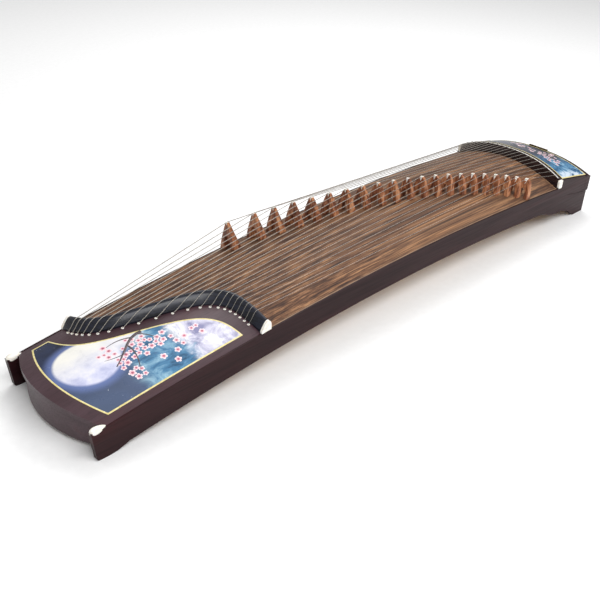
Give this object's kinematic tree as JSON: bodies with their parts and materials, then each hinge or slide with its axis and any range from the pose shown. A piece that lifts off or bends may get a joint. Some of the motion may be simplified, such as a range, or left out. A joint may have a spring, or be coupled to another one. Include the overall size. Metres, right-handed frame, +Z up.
{
  "type": "guzheng",
  "caption": "Full-size guzheng with a dark lacquered body, S-shaped tail nut, sliding bridges, and tuning pins under a hinged lid with a picture panel.",
  "frame": {"origin": "on the floor under the middle of the instrument's bounding box", "axes": "+X along the strings from the tail to the head, -Y towards the player, +Z up"},
  "size_m": [1.641, 0.3414, 0.2126],
  "materials": {
    "dark_wood": "satin dark plum-brown lacquer",
    "nut_wood": "polished near-black hardwood",
    "soundboard_wood": "burnt and brushed paulownia, satin",
    "plain_wood": "unlacquered light wood",
    "bridge_wood": "satin red sandalwood",
    "picture": "painted night picture under gloss lacquer",
    "string_steel": "wound and plain steel string",
    "pin_steel": "nickel-plated steel",
    "brass": "blackened brass, satin"
  },
  "bodies": {
    "root": {"side_board_near": "dark_wood", "side_board_far": "dark_wood", "soundboard": "soundboard_wood", "tail_plate": "dark_wood", "tail_picture_panel": "picture", "tail_end_board": "dark_wood", "tail_nut": "nut_wood", "bottom_board": "plain_wood", "inner_braces": "plain_wood", "head_nut": "nut_wood", "tuning_box": "plain_wood", "head_block": "dark_wood", "head_lower_board": "dark_wood", "hinge_fixed_leaf": "brass", "strings": "string_steel"},
    "lid": {"lid": "dark_wood", "lid_picture_panel": "picture", "hinge_moving_leaf": "brass"},
    "bridge_01": {"bridge_01": "bridge_wood"},
    "bridge_02": {"bridge_02": "bridge_wood"},
    "bridge_03": {"bridge_03": "bridge_wood"},
    "bridge_04": {"bridge_04": "bridge_wood"},
    "bridge_05": {"bridge_05": "bridge_wood"},
    "bridge_06": {"bridge_06": "bridge_wood"},
    "bridge_07": {"bridge_07": "bridge_wood"},
    "bridge_08": {"bridge_08": "bridge_wood"},
    "bridge_09": {"bridge_09": "bridge_wood"},
    "bridge_10": {"bridge_10": "bridge_wood"},
    "bridge_11": {"bridge_11": "bridge_wood"},
    "bridge_12": {"bridge_12": "bridge_wood"},
    "bridge_13": {"bridge_13": "bridge_wood"},
    "bridge_14": {"bridge_14": "bridge_wood"},
    "bridge_15": {"bridge_15": "bridge_wood"},
    "bridge_16": {"bridge_16": "bridge_wood"},
    "bridge_17": {"bridge_17": "bridge_wood"},
    "bridge_18": {"bridge_18": "bridge_wood"},
    "bridge_19": {"bridge_19": "bridge_wood"},
    "bridge_20": {"bridge_20": "bridge_wood"},
    "bridge_21": {"bridge_21": "bridge_wood"},
    "tuning_pin_01": {"tuning_pin_01": "pin_steel"},
    "tuning_pin_02": {"tuning_pin_02": "pin_steel"},
    "tuning_pin_03": {"tuning_pin_03": "pin_steel"},
    "tuning_pin_04": {"tuning_pin_04": "pin_steel"},
    "tuning_pin_05": {"tuning_pin_05": "pin_steel"},
    "tuning_pin_06": {"tuning_pin_06": "pin_steel"},
    "tuning_pin_07": {"tuning_pin_07": "pin_steel"},
    "tuning_pin_08": {"tuning_pin_08": "pin_steel"},
    "tuning_pin_09": {"tuning_pin_09": "pin_steel"},
    "tuning_pin_10": {"tuning_pin_10": "pin_steel"},
    "tuning_pin_11": {"tuning_pin_11": "pin_steel"},
    "tuning_pin_12": {"tuning_pin_12": "pin_steel"},
    "tuning_pin_13": {"tuning_pin_13": "pin_steel"},
    "tuning_pin_14": {"tuning_pin_14": "pin_steel"},
    "tuning_pin_15": {"tuning_pin_15": "pin_steel"},
    "tuning_pin_16": {"tuning_pin_16": "pin_steel"},
    "tuning_pin_17": {"tuning_pin_17": "pin_steel"},
    "tuning_pin_18": {"tuning_pin_18": "pin_steel"},
    "tuning_pin_19": {"tuning_pin_19": "pin_steel"},
    "tuning_pin_20": {"tuning_pin_20": "pin_steel"},
    "tuning_pin_21": {"tuning_pin_21": "pin_steel"}
  },
  "joints": [
    {"name": "lid_hinge", "type": "hinge", "parent": "root", "child": "lid", "pos_m": [0.809, 0, 0.13925], "axis": [0, 1, 0], "range_deg": [0, 100]},
    {"name": "bridge_slide_01", "type": "slide", "parent": "root", "child": "bridge_01", "axis": [0.998, 0.0217, 0.0598], "range_m": [-0.025, 0.025], "deforming": ["strings"]},
    {"name": "bridge_slide_02", "type": "slide", "parent": "root", "child": "bridge_02", "axis": [0.9984, 0.0196, 0.0525], "range_m": [-0.025, 0.025], "deforming": ["strings"]},
    {"name": "bridge_slide_03", "type": "slide", "parent": "root", "child": "bridge_03", "axis": [0.9987, 0.0175, 0.0476], "range_m": [-0.025, 0.025], "deforming": ["strings"]},
    {"name": "bridge_slide_04", "type": "slide", "parent": "root", "child": "bridge_04", "axis": [0.999, 0.0154, 0.0427], "range_m": [-0.025, 0.024], "deforming": ["strings"]},
    {"name": "bridge_slide_05", "type": "slide", "parent": "root", "child": "bridge_05", "axis": [0.9992, 0.0133, 0.0378], "range_m": [-0.024, 0.023], "deforming": ["strings"]},
    {"name": "bridge_slide_06", "type": "slide", "parent": "root", "child": "bridge_06", "axis": [0.9994, 0.0113, 0.0329], "range_m": [-0.023, 0.022], "deforming": ["strings"]},
    {"name": "bridge_slide_07", "type": "slide", "parent": "root", "child": "bridge_07", "axis": [0.9996, 0.0092, 0.0279], "range_m": [-0.022, 0.021], "deforming": ["strings"]},
    {"name": "bridge_slide_08", "type": "slide", "parent": "root", "child": "bridge_08", "axis": [0.9997, 0.0071, 0.0229], "range_m": [-0.021, 0.02], "deforming": ["strings"]},
    {"name": "bridge_slide_09", "type": "slide", "parent": "root", "child": "bridge_09", "axis": [0.9998, 0.0048, 0.0179], "range_m": [-0.02, 0.018], "deforming": ["strings"]},
    {"name": "bridge_slide_10", "type": "slide", "parent": "root", "child": "bridge_10", "axis": [0.9999, 0.0025, 0.0128], "range_m": [-0.018, 0.017], "deforming": ["strings"]},
    {"name": "bridge_slide_11", "type": "slide", "parent": "root", "child": "bridge_11", "axis": [1, 0, 0.0077], "range_m": [-0.017, 0.016], "deforming": ["strings"]},
    {"name": "bridge_slide_12", "type": "slide", "parent": "root", "child": "bridge_12", "axis": [1, -0.0026, 0.0025], "range_m": [-0.016, 0.015], "deforming": ["strings"]},
    {"name": "bridge_slide_13", "type": "slide", "parent": "root", "child": "bridge_13", "axis": [1, -0.0053, -0.0028], "range_m": [-0.015, 0.013], "deforming": ["strings"]},
    {"name": "bridge_slide_14", "type": "slide", "parent": "root", "child": "bridge_14", "axis": [0.9999, -0.008, -0.0082], "range_m": [-0.013, 0.012], "deforming": ["strings"]},
    {"name": "bridge_slide_15", "type": "slide", "parent": "root", "child": "bridge_15", "axis": [0.9998, -0.0107, -0.0137], "range_m": [-0.012, 0.011], "deforming": ["strings"]},
    {"name": "bridge_slide_16", "type": "slide", "parent": "root", "child": "bridge_16", "axis": [0.9997, -0.0134, -0.0193], "range_m": [-0.011, 0.01], "deforming": ["strings"]},
    {"name": "bridge_slide_17", "type": "slide", "parent": "root", "child": "bridge_17", "axis": [0.9996, -0.0162, -0.0251], "range_m": [-0.01, 0.008], "deforming": ["strings"]},
    {"name": "bridge_slide_18", "type": "slide", "parent": "root", "child": "bridge_18", "axis": [0.9993, -0.0189, -0.0309], "range_m": [-0.008, 0.007], "deforming": ["strings"]},
    {"name": "bridge_slide_19", "type": "slide", "parent": "root", "child": "bridge_19", "axis": [0.9991, -0.0216, -0.0369], "range_m": [-0.007, 0.006], "deforming": ["strings"]},
    {"name": "bridge_slide_20", "type": "slide", "parent": "root", "child": "bridge_20", "axis": [0.9988, -0.0243, -0.043], "range_m": [-0.006, 0.005], "deforming": ["strings"]},
    {"name": "bridge_slide_21", "type": "slide", "parent": "root", "child": "bridge_21", "axis": [0.9984, -0.027, -0.0492], "range_m": [-0.005, 0.025], "deforming": ["strings"]},
    {"name": "pin_turn_01", "type": "hinge", "parent": "root", "child": "tuning_pin_01", "pos_m": [0.7075, 0.14356, 0.09], "axis": [0, 0, 1], "continuous": true},
    {"name": "pin_turn_02", "type": "hinge", "parent": "root", "child": "tuning_pin_02", "pos_m": [0.7435, 0.1292, 0.09], "axis": [0, 0, 1], "continuous": true},
    {"name": "pin_turn_03", "type": "hinge", "parent": "root", "child": "tuning_pin_03", "pos_m": [0.7075, 0.11485, 0.09], "axis": [0, 0, 1], "continuous": true},
    {"name": "pin_turn_04", "type": "hinge", "parent": "root", "child": "tuning_pin_04", "pos_m": [0.7435, 0.10049, 0.09], "axis": [0, 0, 1], "continuous": true},
    {"name": "pin_turn_05", "type": "hinge", "parent": "root", "child": "tuning_pin_05", "pos_m": [0.7075, 0.08614, 0.09], "axis": [0, 0, 1], "continuous": true},
    {"name": "pin_turn_06", "type": "hinge", "parent": "root", "child": "tuning_pin_06", "pos_m": [0.7435, 0.07178, 0.09], "axis": [0, 0, 1], "continuous": true},
    {"name": "pin_turn_07", "type": "hinge", "parent": "root", "child": "tuning_pin_07", "pos_m": [0.7075, 0.05742, 0.09], "axis": [0, 0, 1], "continuous": true},
    {"name": "pin_turn_08", "type": "hinge", "parent": "root", "child": "tuning_pin_08", "pos_m": [0.7435, 0.04307, 0.09], "axis": [0, 0, 1], "continuous": true},
    {"name": "pin_turn_09", "type": "hinge", "parent": "root", "child": "tuning_pin_09", "pos_m": [0.7075, 0.02871, 0.09], "axis": [0, 0, 1], "continuous": true},
    {"name": "pin_turn_10", "type": "hinge", "parent": "root", "child": "tuning_pin_10", "pos_m": [0.7435, 0.01436, 0.09], "axis": [0, 0, 1], "continuous": true},
    {"name": "pin_turn_11", "type": "hinge", "parent": "root", "child": "tuning_pin_11", "pos_m": [0.7075, 0, 0.09], "axis": [0, 0, 1], "continuous": true},
    {"name": "pin_turn_12", "type": "hinge", "parent": "root", "child": "tuning_pin_12", "pos_m": [0.7435, -0.01436, 0.09], "axis": [0, 0, 1], "continuous": true},
    {"name": "pin_turn_13", "type": "hinge", "parent": "root", "child": "tuning_pin_13", "pos_m": [0.7075, -0.02871, 0.09], "axis": [0, 0, 1], "continuous": true},
    {"name": "pin_turn_14", "type": "hinge", "parent": "root", "child": "tuning_pin_14", "pos_m": [0.7435, -0.04307, 0.09], "axis": [0, 0, 1], "continuous": true},
    {"name": "pin_turn_15", "type": "hinge", "parent": "root", "child": "tuning_pin_15", "pos_m": [0.7075, -0.05742, 0.09], "axis": [0, 0, 1], "continuous": true},
    {"name": "pin_turn_16", "type": "hinge", "parent": "root", "child": "tuning_pin_16", "pos_m": [0.7435, -0.07178, 0.09], "axis": [0, 0, 1], "continuous": true},
    {"name": "pin_turn_17", "type": "hinge", "parent": "root", "child": "tuning_pin_17", "pos_m": [0.7075, -0.08614, 0.09], "axis": [0, 0, 1], "continuous": true},
    {"name": "pin_turn_18", "type": "hinge", "parent": "root", "child": "tuning_pin_18", "pos_m": [0.7435, -0.10049, 0.09], "axis": [0, 0, 1], "continuous": true},
    {"name": "pin_turn_19", "type": "hinge", "parent": "root", "child": "tuning_pin_19", "pos_m": [0.7075, -0.11485, 0.09], "axis": [0, 0, 1], "continuous": true},
    {"name": "pin_turn_20", "type": "hinge", "parent": "root", "child": "tuning_pin_20", "pos_m": [0.7435, -0.1292, 0.09], "axis": [0, 0, 1], "continuous": true},
    {"name": "pin_turn_21", "type": "hinge", "parent": "root", "child": "tuning_pin_21", "pos_m": [0.7075, -0.14356, 0.09], "axis": [0, 0, 1], "continuous": true}
  ]
}
